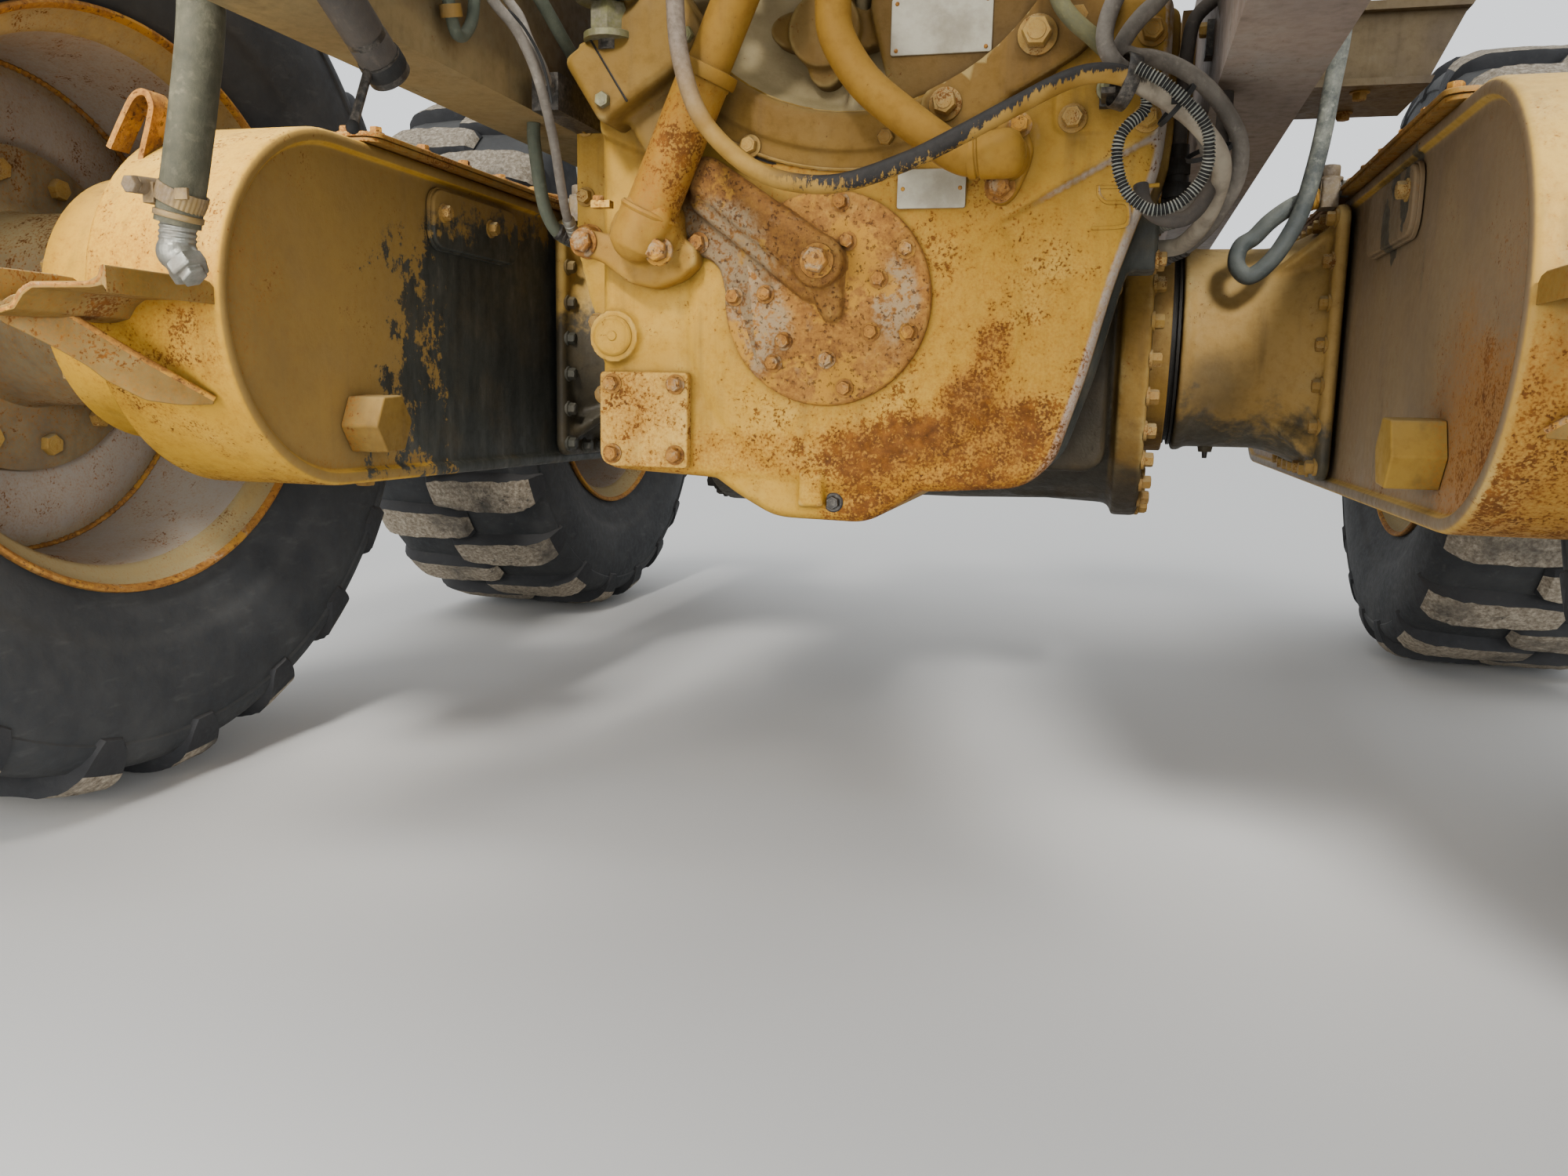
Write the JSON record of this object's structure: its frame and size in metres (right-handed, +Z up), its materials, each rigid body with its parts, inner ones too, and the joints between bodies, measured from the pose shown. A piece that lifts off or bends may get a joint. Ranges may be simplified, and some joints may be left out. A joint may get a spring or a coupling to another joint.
{
  "type": "motor grader rear tandem drive unit",
  "caption": "Rear chassis module of a motor grader: frame rails with articulation hitch, gear case and final drive, walking-beam tandem cases and lugged wheels.",
  "frame": {"origin": "centre of the lower articulation pin bore in the hitch lug, at the front of the unit", "axes": "+X to the machine's right, +Y forward, +Z up, along the articulation pins"},
  "size_m": [2.562, 3.3949, 1.375],
  "materials": {
    "yellow_paint": "worn yellow-ochre paint with rust specks, dust and oil stains",
    "yellow_casting": "painted iron casting, rust blooming through",
    "frame_paint": "dirty yellow-ochre paint, dark with oil inside",
    "rim_paint": "yellow paint, rusty lip, dusty barrel",
    "rusty_iron": "paint half gone, brown rust and grey scale",
    "dark_steel": "dark dusty steel",
    "zinc": "dull zinc plating",
    "hose_rubber": "dusty rubber hose, paint overspray in places",
    "tyre": "dusty tyre rubber, dry mud on the bars"
  },
  "bodies": {
    "chassis": {"rail_left": "frame_paint", "rail_right": "frame_paint", "hitch_frame": "yellow_paint", "rear_bumper": "yellow_paint", "rear_crossmember": "yellow_paint", "axle_saddle": "yellow_paint", "platform_brackets": "yellow_paint", "final_drive_housing": "yellow_casting", "gear_case": "yellow_casting", "bell_housing": "yellow_casting", "input_yoke": "yellow_paint", "round_cover": "rusty_iron", "corner_cover": "yellow_paint", "valve_block": "yellow_paint", "oil_pipe": "yellow_paint", "bent_pipe": "yellow_paint", "main_hose": "hose_rubber", "conduit_loop": "hose_rubber", "grey_hoses": "hose_rubber", "left_hoses": "hose_rubber", "pipe_stubs": "dark_steel", "drain_hose": "hose_rubber", "drain_elbow": "zinc"},
    "tandem_left": {"tandem_case_left": "yellow_paint", "tandem_cover_left": "rusty_iron", "pivot_housing_left": "yellow_paint", "step_left": "yellow_paint", "brake_hose_left": "hose_rubber"},
    "wheel_front_left": {"hub_front_left": "yellow_paint", "rim_front_left": "rim_paint", "tyre_front_left": "tyre"},
    "wheel_rear_left": {"hub_rear_left": "yellow_paint", "rim_rear_left": "rim_paint", "tyre_rear_left": "tyre"},
    "tandem_right": {"tandem_case_right": "yellow_paint", "tandem_cover_right": "rusty_iron", "pivot_housing_right": "yellow_paint", "step_right": "yellow_paint", "brake_hose_right": "hose_rubber"},
    "wheel_front_right": {"hub_front_right": "yellow_paint", "rim_front_right": "rim_paint", "tyre_front_right": "tyre"},
    "wheel_rear_right": {"hub_rear_right": "yellow_paint", "rim_rear_right": "rim_paint", "tyre_rear_right": "tyre"}
  },
  "joints": [
    {"name": "tandem_left_pivot", "type": "hinge", "parent": "chassis", "child": "tandem_left", "pos_m": [-0.48, -1.45, -0.295], "axis": [1, 0, 0], "range_deg": [-25, 15]},
    {"name": "wheel_front_left_spin", "type": "hinge", "parent": "tandem_left", "child": "wheel_front_left", "pos_m": [-1.069, -0.688, -0.295], "axis": [-1, 0, 0], "continuous": true},
    {"name": "wheel_rear_left_spin", "type": "hinge", "parent": "tandem_left", "child": "wheel_rear_left", "pos_m": [-1.069, -2.212, -0.295], "axis": [-1, 0, 0], "continuous": true},
    {"name": "tandem_right_pivot", "type": "hinge", "parent": "chassis", "child": "tandem_right", "pos_m": [0.48, -1.45, -0.295], "axis": [1, 0, 0], "range_deg": [-25, 15]},
    {"name": "wheel_front_right_spin", "type": "hinge", "parent": "tandem_right", "child": "wheel_front_right", "pos_m": [1.069, -0.688, -0.295], "axis": [-1, 0, 0], "continuous": true},
    {"name": "wheel_rear_right_spin", "type": "hinge", "parent": "tandem_right", "child": "wheel_rear_right", "pos_m": [1.069, -2.212, -0.295], "axis": [-1, 0, 0], "continuous": true}
  ]
}
